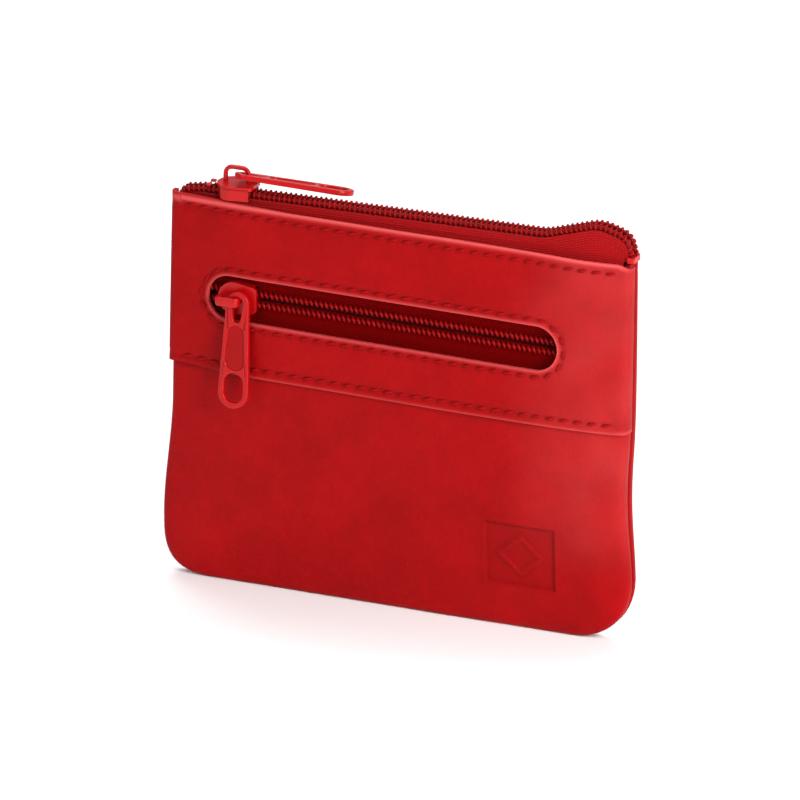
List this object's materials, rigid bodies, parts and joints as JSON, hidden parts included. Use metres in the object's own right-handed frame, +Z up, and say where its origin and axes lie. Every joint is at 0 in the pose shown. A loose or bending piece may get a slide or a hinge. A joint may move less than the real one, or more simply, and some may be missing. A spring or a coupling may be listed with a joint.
{
  "type": "coin purse",
  "caption": "Flat red leather coin purse with a zipped top mouth, a zipped pocket behind a rounded window in the front yoke, and metal pull tabs.",
  "frame": {"origin": "middle of the bottom edge that the purse stands on", "axes": "+Z up, +X to the right along the width, the front with the pocket window faces -Y"},
  "size_m": [0.1118, 0.0169, 0.0977],
  "materials": {
    "leather": "smooth satin cowhide, fine grain",
    "leather_edge": "turned and painted edge",
    "lining": "plain woven lining",
    "zip_tape": "knitted polyester tape",
    "zip_coil": "nylon coil",
    "painted_zip_metal": "glossy enamel over zinc alloy",
    "thread": "matching polyester thread"
  },
  "bodies": {
    "purse": {"front_panel": "leather", "front_yoke": "leather", "back_panel": "leather", "seam_welt": "leather_edge", "pocket_lining": "lining", "front_lining": "lining", "back_lining": "lining", "top_tape_front": "zip_tape", "top_tape_back": "zip_tape", "top_coil_front": "zip_coil", "top_coil_back": "zip_coil", "top_end_stop": "painted_zip_metal", "top_start_stops": "painted_zip_metal", "window_tape_upper": "zip_tape", "window_tape_lower": "zip_tape", "window_coil_upper": "zip_coil", "window_coil_lower": "zip_coil", "window_end_stop": "painted_zip_metal", "window_start_stops": "painted_zip_metal", "hem_stitching": "thread", "window_stitching": "thread", "mouth_stitching_front": "thread", "mouth_stitching_back": "thread"},
    "top_slider": {"top_slider_body": "painted_zip_metal", "top_slider_bail": "painted_zip_metal"},
    "top_pull": {"top_pull_tab": "painted_zip_metal"},
    "window_slider": {"window_slider_body": "painted_zip_metal", "window_slider_bail": "painted_zip_metal"},
    "window_pull": {"window_pull_tab": "painted_zip_metal"}
  },
  "joints": [
    {"name": "top_slider_slide", "type": "slide", "parent": "purse", "child": "top_slider", "axis": [0.9998, 0, 0.021], "range_m": [0, 0.048]},
    {"name": "top_pull_hinge", "type": "hinge", "parent": "top_slider", "child": "top_pull", "pos_m": [-0.03978, -0.00055, 0.09456], "axis": [0.2566, -0.9402, 0.2239], "range_deg": [0, 120]},
    {"name": "window_slider_slide", "type": "slide", "parent": "purse", "child": "window_slider", "axis": [0.9999, -0.015, 0], "range_m": [0, 0.064]},
    {"name": "window_pull_swing", "type": "hinge", "parent": "window_slider", "child": "window_pull", "pos_m": [-0.03719, -0.00559, 0.0667], "axis": [-0.0347, -0.9948, 0.0958], "range_deg": [-20, 90]}
  ]
}
